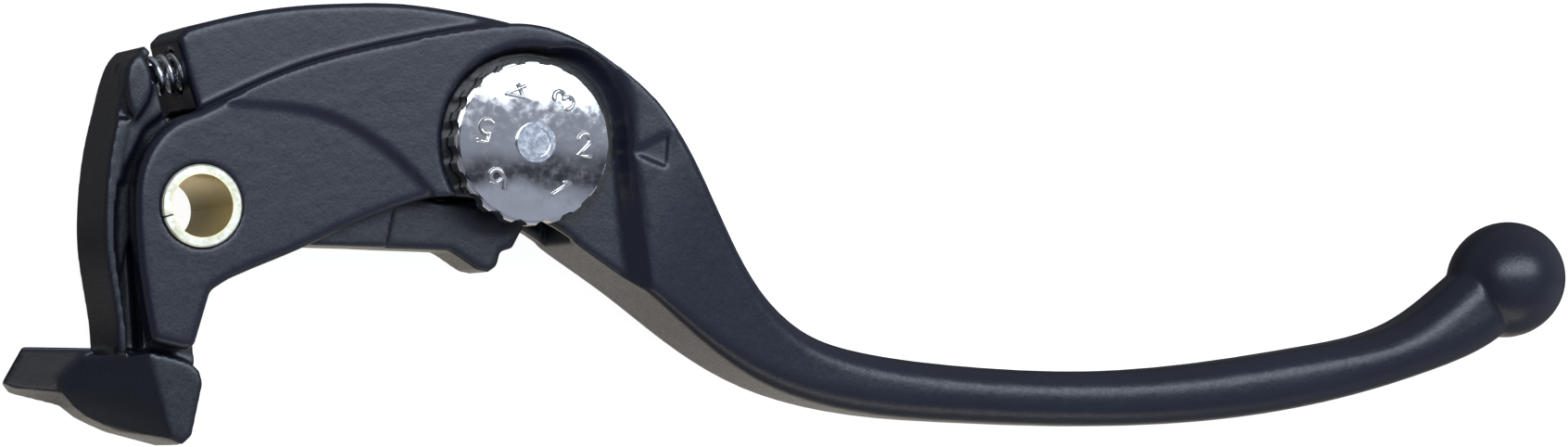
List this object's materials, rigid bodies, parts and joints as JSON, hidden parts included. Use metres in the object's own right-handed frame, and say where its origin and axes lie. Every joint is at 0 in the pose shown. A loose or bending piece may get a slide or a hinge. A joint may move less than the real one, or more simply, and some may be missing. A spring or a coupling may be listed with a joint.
{
  "type": "motorcycle clutch lever",
  "caption": "Black cast motorcycle hand lever with a ball end, separate piston knocker on a pivot bush, return spring and numbered chrome reach dial.",
  "frame": {"origin": "on the pivot axis, at the middle of the bush", "axes": "+Z along the pivot axis towards the dial side, +X along the lever from the pivot to the ball end, +Y away from the handlebar grip"},
  "size_m": [0.2235, 0.0568, 0.0227],
  "materials": {
    "lever_paint": "satin",
    "knocker_paint": "satin",
    "bush_zinc": "yellow zinc plate",
    "spring_steel": "bright zinc",
    "dial_chrome": "polished",
    "spindle_steel": "zinc plate"
  },
  "bodies": {
    "pivot": {"pivot_bush": "bush_zinc"},
    "lever": {"lever_body": "lever_paint", "detent_spring": "spring_steel", "return_spring": "spring_steel"},
    "knocker": {"knocker": "knocker_paint"},
    "dial": {"adjuster_dial": "dial_chrome", "adjuster_spindle": "spindle_steel", "spindle_washer": "spindle_steel", "spindle_clip": "spindle_steel"},
    "detent": {"detent_ball": "spring_steel"}
  },
  "joints": [
    {"name": "lever_pull", "type": "hinge", "parent": "pivot", "child": "lever", "pos_m": [0, 0, 0], "axis": [0, 0, 1], "range_deg": [-20, 0]},
    {"name": "dial_turn", "type": "hinge", "parent": "lever", "child": "dial", "pos_m": [0.0439, 0.0088, 0], "axis": [0, 0, 1], "range_deg": [-226.4, 56.6]},
    {"name": "knocker_reach", "type": "hinge", "parent": "lever", "child": "knocker", "pos_m": [0, 0, 0], "axis": [0, 0, 1], "range_deg": [-0.59, 2.35], "deforming": ["return_spring"]},
    {"name": "detent_click", "type": "slide", "parent": "lever", "child": "detent", "axis": [0, 0, 1], "range_m": [0, 0.00035], "deforming": ["detent_spring"]}
  ],
  "couplings": [
    {"joint": "knocker_reach", "follows": "dial_turn", "ratio": -0.010377}
  ]
}
